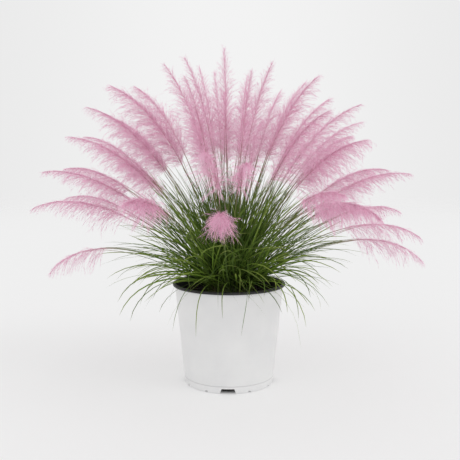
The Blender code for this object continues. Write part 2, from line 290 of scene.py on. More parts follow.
SHORT_HAIR_SHARE = (0.12, 0.26)
SHORT_HAIR_ANGLES = (8.0, 34.0)
SHORT_HAIR_STEPS = 1
HAIR_WIDTHS = (0.00038, 0.00014)
HAIR_PLACES = (0.04, 0.96)
HAIR_CHOICE_POWER = 1.2
TIP_HAIR_CUT = 0.4
HAIR_DROOP = 0.40
HAIR_DROOP_RANGE = (0.4, 1.4)
HAIR_LANES = (0.12, 0.98)
HAIR_HALF_LANE = 0.002
RACHIS_HAIRS = 40
RACHIS_HAIR_PLACES = (0.05, 1.0)
RACHIS_HAIR_ANGLES = (4.0, 16.0)
RACHIS_HAIR_LENGTHS = (0.008, 0.018)
RACHIS_HAIR_DROOPS = (0.2, 1.0)
RACHIS_HAIR_STEPS = 2
RACHIS_TIP_CUT = 0.35
GOLDEN_ANGLE = math.pi * (3.0 - math.sqrt(5.0))

# Leaves: thin folded blades in eight groups round the crown
CROWN_EDGE_LEAN = math.radians(72.0)
TUFTS = 8
TUFT_SEED = 2000
BLADES_TRIED = 215
BLADE_STEPS = 10
BLADE_WIDTHS = (0.0021, 0.0033)
WIDTH_FOR_LEAN = ((16.0, 0.85), (50.0, 1.05), (80.0, 1.10))
BLADE_FOLD = 0.30
BLADE_ROLL = 0.5
BLADE_TWIST = 0.9
BLADE_BASE_SHARE = 0.65
BLADE_WIDENING = 2.0
BLADE_TAPER = 0.42
BLADE_TIP_SHARE = 0.03
BLADE_HALF_LANE = 0.004
BLADE_LEANS = ((0.0, 4.0), (0.14, 16.0), (0.44, 36.0), (0.74, 58.0), (1.0, 82.0))
BLADE_LENGTHS = ((4.0, 0.262), (24.0, 0.312), (48.0, 0.318), (64.0, 0.300), (80.0, 0.262))
BLADE_ARCHES = ((4.0, 6.0), (24.0, 16.0), (38.0, 26.0), (50.0, 44.0), (64.0, 70.0), (78.0, 100.0))
LEAN_SCATTER = 2.0
LEAN_LIMITS = (2.0, 80.0)
BLADE_LENGTH_RANGE = (0.45, 0.95, 1.08)
BLADE_ARCH_RANGE = (0.55, 1.25)
LOWEST_ANGLE = 168.0
BLADE_DRIFT = 52.0
FOOT_SCATTER = 0.85
FOOT_LEAN_RANGE = (0.35, 1.5)
FOOT_DEPTH = 0.97
OUTER_BLADES = 0.35
OUTER_FEET = (0.055, 0.088)
# Map lanes of darker and brighter blades: partly the leaves' own colour, partly painted light and
# shade
DEEP_LANES = (0.02, 0.56)
BRIGHT_LANES = (0.64, 0.98)
BRIGHT_WIDER = 1.35
BRIGHT_SHARES = (0.15, 0.8)
RIM_CLEAR_RADIUS = 0.1405
RIM_CLEAR_HEIGHT = 0.2505
CLEARING_ROUNDS = 12
ARCH_EASING = 0.82
LEAN_EASING = 2.0

# Floor, surroundings and light
FLOOR_RINGS = (0.001, 0.5, 1.0, 2.0, 4.0, 9.0)
FLOOR_STEPS = 96
FLOOR_FADE = (3.0, 8.0)
FLOOR_COLOUR = (0.48, 0.48, 0.48)
FLOOR_GLOW = 0.39
# Radii over which the floor's glow comes in: none inside them, a painted shade under the pot
FLOOR_GLOW_EDGES = (0.085, 0.112)
WORLD_SIDES = 0.81
WORLD_MIDDLE = 0.085
WORLD_MIDDLE_POWER = 15.0
# Each light: name, strength, width in degrees, the way it shines
LIGHTS = (
    ("key_light", 0.50, 30.0, (-0.68, 0.32, -0.66)),
    ("fill_light", 0.28, 50.0, (0.50, 0.60, -0.62)),
)


def rows_between(table, places):
    """Values read at places from a table of (place, value) rows."""
    xs, ys = zip(*table)
    return np.interp(places, xs, ys)


def unit(vectors):
    """Vectors made one long."""
    lengths = np.linalg.norm(vectors, axis=-1, keepdims=True)
    return vectors / np.maximum(lengths, 1e-9)


def direction(lean, bearing):
    """Unit vectors at a lean from upright, in radians, towards a bearing."""
    return np.stack([np.sin(lean) * np.cos(bearing),
                     np.sin(lean) * np.sin(bearing),
                     np.cos(lean) + 0.0 * bearing], axis=-1)


def even_turns(count):
    """Turns in even steps once round a circle, in radians."""
    return 2.0 * math.pi * np.arange(count) / count


class Builder:
    """Gathers the four-sided faces of one piece, with their map places and materials."""

    def __init__(self):
        self.points = []
        self.quads = []
        self.places = []
        self.looks = []
        self.count = 0

    def add(self, points, quads, places, look):
        """Adds points, faces that number them from 0, a map place for each point, a look."""
        self.points.append(np.asarray(points, float).reshape(-1, 3))
        self.quads.append(np.asarray(quads, int) + self.count)
        self.places.append(np.asarray(places, float).reshape(-1, 2))
        self.looks.append(np.full(len(quads), look))
        self.count += len(self.points[-1])

    def sheets(self, grids, places, look, closed=False):
        """Adds grids of points, shaped (sheet, station, column, 3), as strips of faces."""
        sheets, stations, columns = grids.shape[:3]
        first = (np.arange(sheets)[:, None, None] * stations * columns
                 + np.arange(stations - 1)[None, :, None] * columns)
        across = np.arange(columns if closed else columns - 1)[None, None, :]
        beside = (across + 1) % columns
        quads = np.stack([first + across, first + beside,
                          first + columns + beside, first + columns + across], axis=-1)
        self.add(grids, quads.reshape(-1, 4), places, look)

    def piece(self, name, materials, smooth=True):
        """Makes the mesh object."""
        points = np.concatenate(self.points).astype(np.float32)
        quads = np.concatenate(self.quads).astype(np.int32)
        places = np.concatenate(self.places).astype(np.float32)
        looks = np.concatenate(self.looks).astype(np.int32)
        mesh = bpy.data.meshes.new(name)
        mesh.vertices.add(len(points))
        mesh.vertices.foreach_set("co", points.ravel())
        mesh.loops.add(quads.size)
        mesh.loops.foreach_set("vertex_index", quads.ravel())
        mesh.polygons.add(len(quads))
        mesh.polygons.foreach_set("loop_start", np.arange(len(quads), dtype=np.int32) * 4)
        mesh.polygons.foreach_set("material_index", looks)
        mesh.polygons.foreach_set("use_smooth", np.full(len(quads), smooth))
        mesh.update(calc_edges=True)
        layer = mesh.uv_layers.new(name=MAP_NAME)
        layer.data.foreach_set("uv", places[quads.ravel()].ravel())
        for material in materials:
            mesh.materials.append(material)
        item = bpy.data.objects.new(name, mesh)
        bpy.context.scene.collection.objects.link(item)
        return item


def walked(starts, moves):
    """Curves from starts by one move after another: (curve, station, 3)."""
    starts = starts[:, None]
    return np.concatenate([starts, starts + np.cumsum(moves, axis=1)], axis=1)


def swept(starts, headings, lengths, droops, power, steps, side_bends=None):
    """Curves that leave their starts along headings and sag: (curve, station, 3)."""
    along = (np.arange(steps) + 0.5) / steps
    sag = droops[:, None] * along[None, :] ** power
    ways = headings[:, None, :] - sag[..., None] * UP
    if side_bends is not None:
        ways = ways + along[None, :, None] * side_bends[:, None, :]
    return walked(starts, unit(ways) * (lengths / steps)[:, None, None])


def ways_along(curves):
    """Directions at each station of curves shaped (curve, station, 3)."""
    ways = np.empty_like(curves)
    ways[:, 1:-1] = curves[:, 2:] - curves[:, :-2]
    ways[:, 0] = curves[:, 1] - curves[:, 0]
    ways[:, -1] = curves[:, -1] - curves[:, -2]
    return unit(ways)


def ribbon_places(count, stations, columns, lanes, half_lane):
    """Map places of ribbons: along the ribbon, and across in a lane of its own."""
    along = np.linspace(*MAP_ENDS, stations)
    across = np.linspace(-half_lane, half_lane, columns)
    places = np.empty((count, stations, columns, 2))
    places[..., 0] = along[None, :, None]
    places[..., 1] = lanes[:, None, None] + across[None, None, :]
    return places


def one_lane(stations, columns, lane):
    """Map places of a single sheet, in a lane of a middle and half a width."""
    return ribbon_places(1, stations, columns, np.array([lane[0]]), lane[1])


def add_ribbons(builder, rng, curves, widths, lanes, look):
    """Adds flat ribbons along curves, each turned its own way."""
    count, stations = curves.shape[:2]
    facing = unit(rng.normal(size=(count, 1, 3)))
    across = unit(np.cross(ways_along(curves), facing))
    half = 0.5 * np.linspace(widths[0], widths[1], stations)
    offsets = across * half[None, :, None]
    grids = np.stack([curves - offsets, curves + offsets], axis=2)
    builder.sheets(grids, ribbon_places(count, stations, 2, lanes, HAIR_HALF_LANE), look)


def add_tube(builder, curve, radii, sides, lane, look):
    """Adds a round closed bar along one curve."""
    ways = ways_along(curve[None])[0]
    sideways = unit(np.cross(ways[0], SIDE_HINT))
    spokes = even_turns(sides)
    rings = []
    for point, way, radius in zip(curve, ways, radii):
        sideways = unit(sideways - way * (sideways @ way))
        other = np.cross(way, sideways)
        rings.append(point + radius * (np.cos(spokes)[:, None] * sideways
                                       + np.sin(spokes)[:, None] * other))
    grid = np.array(rings)[None]
    first = builder.count
    builder.sheets(grid, one_lane(len(curve), sides, lane), look, closed=True)
    last = first + (len(curve) - 1) * sides
    caps = [[0, side + 1, side, side - 1] for side in range(2, sides - 1, 2)]
    start_cap = np.array(caps) + first
    end_cap = np.array(caps)[:, ::-1] + last
    builder.quads.append(np.concatenate([start_cap, end_cap]))
    builder.looks.append(np.full(2 * len(caps), look))


def heading(fan, tilt):
    """Lean and bearing, in radians, of a fan and tilt in degrees."""
    fan, tilt = math.radians(fan), math.radians(tilt)
    lean = math.acos(math.cos(fan) * math.cos(tilt))
    return lean, math.atan2(-math.sin(tilt), math.sin(fan) * math.cos(tilt))


def stem_path(fan, tilt, length, arch):
    """Points at even steps along a stalk that bends over in its own upright plane."""
    lean, bearing = heading(fan, tilt)
    arch = math.radians(arch)
    nod = math.radians(NOD) * math.sin(lean + arch)
    start = CROWN_CENTRE + (CROWN_RADIUS + GAP) * direction(lean, bearing)
    along = (np.arange(PATH_STEPS) + 0.5) / PATH_STEPS
    angle = lean + arch * along ** ARCH_POWER + nod * along ** NOD_POWER
    outward = np.array([math.cos(bearing), math.sin(bearing), 0.0])
    steps = np.outer(np.sin(angle), outward) + np.outer(np.cos(angle), UP)
    path = np.vstack([np.zeros(3), np.cumsum(steps, axis=0) * length / PATH_STEPS])
    return start + path


def on_path(path, fractions):
    """Points of a path at fractions of its length, and its directions there."""
    places = np.asarray(fractions) * (len(path) - 1)
    stations = np.arange(len(path))
    points = np.stack([np.interp(places, stations, path[:, axis]) for axis in range(3)], axis=-1)
    low = np.minimum(places.astype(int), len(path) - 2)
    return points, unit(path[low + 1] - path[low])


def round_about(ways, turns):
    """Unit vectors square to ways, at turns round them."""
    first = unit(np.cross(ways, SIDE_HINT))
    second = np.cross(ways, first)
    return np.cos(turns)[:, None] * first + np.sin(turns)[:, None] * second


def turned_away(ways, outward, angles):
    """Directions that leave ways towards outward by angles, in radians."""
    return np.cos(angles)[:, None] * ways + np.sin(angles)[:, None] * outward


def plume_branches(rng, path, plume_start, width, form):
    """The curves of a plume's branches, and each one's length."""
    fullness, reach, openness, sag, closeness = form
    count = round(BRANCHES_PER_WIDTH * width * fullness)
    share = (np.arange(count) + rng.uniform(*BRANCH_PLACES, count)) / count
    share = share ** BRANCH_PLACE_POWER * LAST_BRANCH
    starts, ways = on_path(path, plume_start + (1.0 - plume_start) * share)
    turns = GOLDEN_ANGLE * np.arange(count) + rng.uniform(*BRANCH_TURN_RANGE, count)
    outward = round_about(ways, turns)
    upper = np.clip(outward[:, 2], 0.0, 1.0)
    lower = np.clip(-outward[:, 2], 0.0, 1.0)
    angles = np.radians(rows_between(BRANCH_ANGLES, share))
    angles *= rng.uniform(*BRANCH_ANGLE_RANGE, count)
    angles *= openness * (1.0 - closeness * UPPER_ANGLE_CUT * upper + LOWER_ANGLE_GAIN * lower)
    lengths = (BRANCH_LENGTH + BRANCH_LENGTH_FOR_WIDTH * width) * rows_between(BRANCH_SWELL, share)
    lengths *= reach * rng.uniform(*BRANCH_LENGTH_RANGE, count)
    lengths *= 1.0 - closeness * UPPER_LENGTH_CUT * upper
    headings = turned_away(ways, outward, angles)
    droops = UPRIGHT_DROOP + (LEVEL_DROOP - UPRIGHT_DROOP) * (1.0 - np.abs(ways[:, 2]))
    droops *= sag * rng.uniform(*BRANCH_DROOP_RANGE, count) * (1.0 - TIP_DROOP_CUT * share)
    bends = rng.normal(scale=BRANCH_BEND, size=(count, 3))
    branches = swept(starts, headings, lengths, droops, BRANCH_DROOP_POWER, BRANCH_STEPS, bends)
    return branches, lengths


def branch_hairs(rng, branches, lengths, each, size_share, angle_range, steps):
    """The curves of fine hairs along every branch."""
    count = len(branches) * each
    weights = lengths ** HAIR_CHOICE_POWER
    owner = rng.choice(len(branches), count, p=weights / np.sum(weights))
    share = rng.uniform(*HAIR_PLACES, count) * BRANCH_STEPS
    low = np.minimum(share.astype(int), BRANCH_STEPS - 1)
    before, after = branches[owner, low], branches[owner, low + 1]
    starts = before + (after - before) * (share - low)[:, None]
    ways = unit(after - before)
    outward = round_about(ways, rng.uniform(0.0, 2.0 * math.pi, count))
    angles = np.radians(rng.uniform(*angle_range, count))
    headings = turned_away(ways, outward, angles)
    sizes = lengths[owner] * rng.uniform(*size_share, count)
    sizes *= 1.0 - TIP_HAIR_CUT * share / BRANCH_STEPS
    droops = HAIR_DROOP * rng.uniform(*HAIR_DROOP_RANGE, count)
    return swept(starts, headings, sizes, droops, 1.0, steps)


def rachis_hairs(rng, path, plume_start):
    """The curves of the short hairs that lie close along the rachis."""
    share = rng.uniform(*RACHIS_HAIR_PLACES, RACHIS_HAIRS)
    starts, ways = on_path(path, plume_start + (1.0 - plume_start) * share)
    outward = round_about(ways, rng.uniform(0.0, 2.0 * math.pi, RACHIS_HAIRS))
    angles = np.radians(rng.uniform(*RACHIS_HAIR_ANGLES, RACHIS_HAIRS))
    headings = turned_away(ways, outward, angles)
    lengths = rng.uniform(*RACHIS_HAIR_LENGTHS, RACHIS_HAIRS) * (1.0 - RACHIS_TIP_CUT * share)
    droops = HAIR_DROOP * rng.uniform(*RACHIS_HAIR_DROOPS, RACHIS_HAIRS)
    return swept(starts, headings, lengths, droops, 1.0, RACHIS_HAIR_STEPS)


def stalk_fractions(stations, plume_start, end):
    """Fractions of a path, spaced so that the plume begins at the same place on every map."""
    return np.interp(np.linspace(0.0, 1.0, stations), (0.0, PLUME_START_ON_MAP, 1.0),
                     (0.0, plume_start, end))


def add_side_stalks(builder, rng, path, plume_start):
    """Adds the thin bare stalks that stand beside a stem and end inside its plume."""
    for _ in range(SIDE_STALKS):
        end = plume_start + (1.0 - plume_start) * rng.uniform(*SIDE_STALK_ENDS)
        fractions = stalk_fractions(STALK_STATIONS // 2, plume_start, end)
        points, ways = on_path(path, fractions)
        turn = rng.uniform(0.0, 2.0 * math.pi)
        aside = round_about(ways, np.full(len(ways), turn))
        room = rng.uniform(*SIDE_STALK_ROOM) * (1.0 - (fractions / end) ** SIDE_STALK_CLOSING)
        tip_radius = SIDE_STALK_TIP_SHARE * SIDE_STALK_RADIUS
        radii = np.linspace(SIDE_STALK_RADIUS, tip_radius, len(fractions))
        curve = points + aside * room[:, None]
        add_tube(builder, curve, radii, SIDE_STALK_SIDES, STALK_LANE, 0)


def make_flower_stem(number, row, materials):
    """One stem: stalk, rachis, branches and hairs."""
    fan, tilt, length, arch, plume, width = row
    rng = np.random.default_rng(STEM_SEED + number)
    length, plume, width = (value / MILLIMETRES for value in (length, plume, width))
    path = stem_path(fan, tilt, length, arch)
    plume_start = 1.0 - plume / length
    builder = Builder()
    fractions = stalk_fractions(STALK_STATIONS, plume_start, STALK_END)
    radii = np.interp(fractions, (0.0, plume_start, 1.0),
                      (STALK_BASE_RADIUS, STALK_TOP_RADIUS, RACHIS_TIP_RADIUS))
    add_tube(builder, on_path(path, fractions)[0], radii, STALK_SIDES, STALK_LANE, 0)
    add_side_stalks(builder, rng, path, plume_start)
    branches, lengths = plume_branches(rng, path, plume_start, width,
                                       FORMS.get(number, PLAIN_FORM))
    lanes = rng.uniform(*HAIR_LANES, len(branches))
    add_ribbons(builder, rng, branches, BRANCH_WIDTHS, lanes, 1)
    long_hairs = branch_hairs(rng, branches, lengths, LONG_HAIRS, LONG_HAIR_SHARE,
                              LONG_HAIR_ANGLES, LONG_HAIR_STEPS)
    short_hairs = branch_hairs(rng, branches, lengths, SHORT_HAIRS, SHORT_HAIR_SHARE,
                               SHORT_HAIR_ANGLES, SHORT_HAIR_STEPS)
    for hairs in (long_hairs, short_hairs, rachis_hairs(rng, path, plume_start)):
        lanes = rng.uniform(*HAIR_LANES, len(hairs))
        add_ribbons(builder, rng, hairs, HAIR_WIDTHS, lanes, 1)
    piece = builder.piece(f"plume_stem_{number:02d}", materials)
    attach(piece, BODY)
    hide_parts(f"flower_stem_{number:02d}")


def blade_curves(rng, tuft):
    """One tuft's blades: curves, map lanes, how much wider.

    A blade that comes low between the crown and the pot's rim is raised a few times, and left
    out if it stays low. That leaves out most of the outer blades, which start on the soil.
    """
    count = BLADES_TRIED
    leans = rows_between(BLADE_LEANS, rng.uniform(0.0, 1.0, count))
    leans = np.clip(leans + rng.normal(0.0, LEAN_SCATTER, count), *LEAN_LIMITS)
    bearings = 2.0 * math.pi * (tuft + rng.uniform(0.0, 1.0, count)) / TUFTS
    lengths = rows_between(BLADE_LENGTHS, leans) * rng.triangular(*BLADE_LENGTH_RANGE, count)
    arches = np.radians(rows_between(BLADE_ARCHES, leans)) * rng.uniform(*BLADE_ARCH_RANGE, count)
    drift = np.radians(rng.normal(0.0, BLADE_DRIFT, count))
    foot_leans = np.radians(leans) * rng.uniform(*FOOT_LEAN_RANGE, count)
    foot_leans = np.clip(foot_leans, 0.0, CROWN_EDGE_LEAN)
    foot_bearings = bearings + rng.normal(0.0, FOOT_SCATTER, count)
    starts = CROWN_CENTRE + FOOT_DEPTH * CROWN_RADIUS * direction(foot_leans, foot_bearings)
    outer = rng.uniform(size=count) < OUTER_BLADES
    level = direction(np.full(count, math.pi / 2.0), foot_bearings)
    on_soil = rng.uniform(*OUTER_FEET, count)[:, None] * level + SOIL_TOP * UP
    starts = np.where(outer[:, None], on_soil, starts)
    along = (np.arange(BLADE_STEPS) + 0.5) / BLADE_STEPS
    for _ in range(CLEARING_ROUNDS):
        angle = np.radians(leans)[:, None] + arches[:, None] * along[None, :] ** ARCH_POWER
        angle = np.minimum(angle, math.radians(LOWEST_ANGLE))
        turn = bearings[:, None] + drift[:, None] * along[None, :]
        curves = walked(starts, direction(angle, turn) * (lengths / BLADE_STEPS)[:, None, None])
        radius = np.linalg.norm(curves[..., :2], axis=-1)
        low = np.any((radius < RIM_CLEAR_RADIUS) & (curves[..., 2] < RIM_CLEAR_HEIGHT)
                     & (radius > CROWN_RADIUS), axis=1)
        if not low.any():
            break
        arches[low] *= ARCH_EASING
        leans[low] -= LEAN_EASING
    # Bright blades are partly painted light: more of them go to the low, leaning blades, which stand
    # in the light.
    bright = rng.uniform(size=count) < np.clip(leans / LEAN_LIMITS[1], *BRIGHT_SHARES)
    lanes = np.where(bright, rng.uniform(*BRIGHT_LANES, count), rng.uniform(*DEEP_LANES, count))
    return curves[~low], lanes[~low], rows_between(WIDTH_FOR_LEAN, leans)[~low]


def add_blades(builder, rng, curves, lanes, wider, look):
    """Adds folded blades along curves, widest near the base and drawn out to a point."""
    count, stations = curves.shape[:2]
    ways = ways_along(curves)
    level = unit(np.cross(ways, UP) + 1e-6)
    along = np.linspace(0.0, 1.0, stations)
    rolls = rng.normal(0.0, BLADE_ROLL, count)[:, None]
    rolls = rolls + along * rng.normal(0.0, BLADE_TWIST, count)[:, None]
    above = np.cross(level, ways)
    across = np.cos(rolls)[..., None] * level + np.sin(rolls)[..., None] * above
    under = unit(np.cross(across, ways))
    shape = np.minimum(1.0, BLADE_BASE_SHARE + BLADE_WIDENING * along)
    shape = shape * (1.0 - along) ** BLADE_TAPER + BLADE_TIP_SHARE
    widths = rng.uniform(*BLADE_WIDTHS, count) * wider
    widths *= np.where(lanes > BRIGHT_LANES[0], BRIGHT_WIDER, 1.0)
    half = 0.5 * widths[:, None] * shape[None, :]
    sides = across * half[..., None]
    fold = under * (BLADE_FOLD * half)[..., None]
    grids = np.stack([curves - sides, curves + fold, curves + sides], axis=2)
    builder.sheets(grids, ribbon_places(count, stations, 3, lanes, BLADE_HALF_LANE), look)


def make_leaf_tuft(tuft, materials):
    """One group of blades."""
    rng = np.random.default_rng(TUFT_SEED + tuft)
    builder = Builder()
    curves, lanes, wider = blade_curves(rng, tuft)
    add_blades(builder, rng, curves, lanes, wider, 0)
    piece = builder.piece(f"blades_{tuft + 1:02d}", materials)
    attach(piece, BODY)
    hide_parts(f"leaf_tuft_{tuft + 1:02d}")


def make_crown(materials):
    """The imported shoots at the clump's base: short sheaths on a dome."""
    rng = np.random.default_rng(CROWN_SEED)
    builder = Builder()
    edge = math.acos((SOIL_TOP + GAP - CROWN_CENTRE[2]) / CROWN_RADIUS)
    leans = np.linspace(CROWN_POLE_LEAN, edge, CROWN_RINGS)
    bearings = even_turns(CROWN_STEPS)
    dome = direction(leans[:, None], bearings[None, :])
    uneven = rng.uniform(-CROWN_BUMP, CROWN_BUMP, (CROWN_RINGS, CROWN_STEPS))
    radius = CROWN_RADIUS * (CROWN_SHRINK + uneven)
    radius[-1] = CROWN_RADIUS
    grid = (CROWN_CENTRE + dome * radius[..., None])[None]
    places = one_lane(CROWN_RINGS, CROWN_STEPS, CROWN_LANE)
    builder.sheets(grid[:, ::-1], places, 0, closed=True)
    for _ in range(SHEATHS):
        lean = edge * math.sqrt(rng.uniform(0.0, SHEATH_SPREAD))
        way = direction(np.array(lean), np.array(rng.uniform(0.0, 2.0 * math.pi)))
        start = CROWN_CENTRE + SHEATH_FOOT * CROWN_RADIUS * way
        way = unit(way + rng.normal(0.0, SHEATH_SCATTER, 3) + SHEATH_RISE * UP)
        length = rng.uniform(*SHEATH_LENGTHS) * (1.0 if lean < SHORT_SHEATH_LEAN else SHORT_SHEATH)
        fractions = np.linspace(0.0, 1.0, len(SHEATH_TAPER))[:, None]
        curve = start + fractions * length * way
        radii = rng.uniform(*SHEATH_RADII) * SHEATH_TAPER
        lane = (rng.uniform(*SHEATH_LANES), HALF_LANE)
        add_tube(builder, curve, radii, SHEATH_SIDES, lane, 0)
    piece = builder.piece("shoot_bases", materials)
    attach(piece, BODY)
    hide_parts("crown")


def wall_radius(height):
    """Outside radius of the pot's tapered wall at a height above the ground."""
    taper = (WALL_TOP_RADIUS - FOOT_RADIUS) / (POT_HEIGHT - LIP_HEIGHT)
    return FOOT_RADIUS + taper * height


def rounded(corners):
    """Points of an outline of (radius, height, rounding) corners, each rounded."""
    points = []
    for index, (x, z, rounding) in enumerate(corners):
        corner = np.array([x, z])
        if rounding == 0.0:
            points.append(corner)
            continue
        before = np.array(corners[index - 1][:2]) - corner
        after = np.array(corners[(index + 1) % len(corners)][:2]) - corner
        low = corner + before / np.linalg.norm(before) * rounding
        high = corner + after / np.linalg.norm(after) * rounding
        for share in np.linspace(0.0, 1.0, CORNER_STEPS):
            points.append((1 - share) ** 2 * low + 2 * share * (1 - share) * corner
                          + share ** 2 * high)
    return np.array(points)


def stretched(points, longest):
    """Points with more put in wherever two are further apart than longest."""
    out = [points[0]]
    for low, high in zip(points, points[1:]):
        count = max(1, math.ceil(np.linalg.norm(high - low) / longest))
        out.extend(low + (high - low) * step / count for step in range(1, count + 1))
    return np.array(out)


def pot_outlines():
    """The pot's inner outline, floor to lip, and its outer one, lip to floor underside."""
    lip_bottom = POT_HEIGHT - LIP_HEIGHT
    floor_top = FLOOR_UNDERSIDE + FLOOR_THICKNESS
    crease_top = CREASE_HEIGHT + CREASE_HALF_WIDTH
    crease_bottom = CREASE_HEIGHT - CREASE_HALF_WIDTH
    inner = rounded([
        (0.0, floor_top, 0.0),
        (wall_radius(floor_top) - WALL, floor_top, FLOOR_CORNER),
        (WALL_TOP_RADIUS - WALL, lip_bottom, WALL_CORNER),
        (WALL_TOP_RADIUS - WALL, POT_HEIGHT, LIP_CORNER),
        (RIM_RADIUS, POT_HEIGHT, LIP_ROUNDING),
        (RIM_RADIUS, lip_bottom, LIP_ROUNDING),
        (WALL_TOP_RADIUS, lip_bottom, 0.0),
    ])
    outer = rounded([
        (WALL_TOP_RADIUS, lip_bottom, 0.0),
        (wall_radius(crease_top), crease_top, CREASE_ROUNDING),
        (wall_radius(CREASE_HEIGHT) - CREASE_DEPTH, CREASE_HEIGHT, CREASE_ROUNDING),
        (wall_radius(crease_bottom), crease_bottom, CREASE_ROUNDING),
        (FOOT_RADIUS, 0.0, FOOT_EDGE),
        (FOOT_RADIUS - FOOT_EDGE - FOOT_WIDTH, 0.0, FOOT_CORNER),
        (FOOT_RADIUS - FOOT_EDGE - FOOT_WIDTH, FLOOR_UNDERSIDE, FOOT_CORNER),
        (0.0, FLOOR_UNDERSIDE, 0.0),
    ])
    return inner, outer


def add_turned(builder, outline, steps, look):
    """Adds a surface of revolution, its outline running so that faces look out."""
    spokes = even_turns(steps)
    rings = np.empty((1, len(outline), steps, 3))
    rings[0, ..., 0] = outline[:, :1] * np.cos(spokes)[None, :]
    rings[0, ..., 1] = outline[:, :1] * np.sin(spokes)[None, :]
    rings[0, ..., 2] = outline[:, 1:]
    builder.sheets(rings, one_lane(len(outline), steps, TURNED_LANE), look, closed=True)


def turn_matrix(turn):
    """The matrix that turns rows of points about the upright axis."""
    return np.array([[math.cos(turn), math.sin(turn), 0.0],
                     [-math.sin(turn), math.cos(turn), 0.0],
                     [0.0, 0.0, 1.0]])


def slot_wedge(bearing, bottom_width, top_width, height):
    """The eight corners of a wedge across the foot."""
    below = FLOOR_UNDERSIDE
    slope = (bottom_width - top_width) / height
    corners = []
    for z, width in ((-below, bottom_width + slope * below), (height, top_width)):
        for x, side in ((SLOT_INNER_RADIUS, -1), (SLOT_OUTER_RADIUS, -1),
                        (SLOT_OUTER_RADIUS, 1), (SLOT_INNER_RADIUS, 1)):
            corners.append((x, side * width / 2.0, z))
    return np.array(corners) @ turn_matrix(math.radians(bearing))


def slot_cutter():
    """One object that holds the wedges of every drain slot."""
    builder = Builder()
    for slot in range(WIDE_SLOTS):
        bearing = FRONT_BEARING + 360.0 / WIDE_SLOTS * slot
        wedges = [slot_wedge(bearing, SLOT_BOTTOM_WIDTH, SLOT_TOP_WIDTH, SLOT_HEIGHT)]
        for side in (-1.0, 1.0):
            wedges.append(slot_wedge(bearing + side * SMALL_SLOT_SPREAD, SMALL_SLOT_WIDTH,
                                     SMALL_SLOT_TAPER * SMALL_SLOT_WIDTH, SMALL_SLOT_HEIGHT))
        for wedge in wedges:
            builder.add(wedge, BOX_FACES, np.zeros((len(wedge), 2)), 0)
    return builder.piece("slot_wedges", [], smooth=False)


def make_pot(materials):
    """The pot: white outside, black inside and at the lip, with drain slots."""
    inner, outer = pot_outlines()
    builder = Builder()
    add_turned(builder, stretched(inner, LONGEST_FACE), POT_STEPS, 1)
    add_turned(builder, stretched(outer, LONGEST_FACE), POT_STEPS, 0)
    pot = builder.piece("nursery_pot", materials)
    weld = pot.modifiers.new("weld", "WELD")
    weld.merge_threshold = WELD_DISTANCE
    cutter = slot_cutter()
    slots = pot.modifiers.new("slots", "BOOLEAN")
    slots.operation = "DIFFERENCE"
    slots.solver = "EXACT"
    slots.object = cutter
    evaluated = pot.evaluated_get(bpy.context.evaluated_depsgraph_get())
    mesh = bpy.data.meshes.new_from_object(evaluated)
    pot.modifiers.clear()
    pot.data = mesh
    bpy.data.objects.remove(cutter)
    mesh.set_sharp_from_angle(angle=math.radians(SHARP_ANGLE))
    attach(pot, BODY)
    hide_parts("pot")


def add_chip(builder, rng, place, size):
    """Adds one flake of bark."""
    square = ((-1.0, -1.0), (1.0, -1.0), (1.0, 1.0), (-1.0, 1.0))
    corners = np.array([(x, y, z) for z in (-1.0, 1.0) for x, y in square])
    corners *= np.array([1.0, rng.uniform(*CHIP_WIDTHS), rng.uniform(*CHIP_HEIGHTS)]) * size / 2.0
    corners += rng.normal(0.0, CHIP_SCATTER * size, corners.shape)
    turn, lean = rng.uniform(0.0, 2.0 * math.pi), rng.normal(0.0, CHIP_LEAN)
    tip = np.array([[1.0, 0.0, 0.0],
                    [0.0, math.cos(lean), math.sin(lean)],
                    [0.0, -math.sin(lean), math.cos(lean)]])
    lane = rng.uniform(*CHIP_LANES)
    places = lane + rng.uniform(-HALF_LANE, HALF_LANE, (len(corners), 2))
    builder.add(corners @ tip @ turn_matrix(turn) + place, BOX_FACES, places, 1)


def ripples(along, across, waves):
    """Waves along one way that wander with waves across it."""
    pitch, wander, wander_pitch = waves
    return np.sin(pitch * along + wander * np.sin(wander_pitch * across))


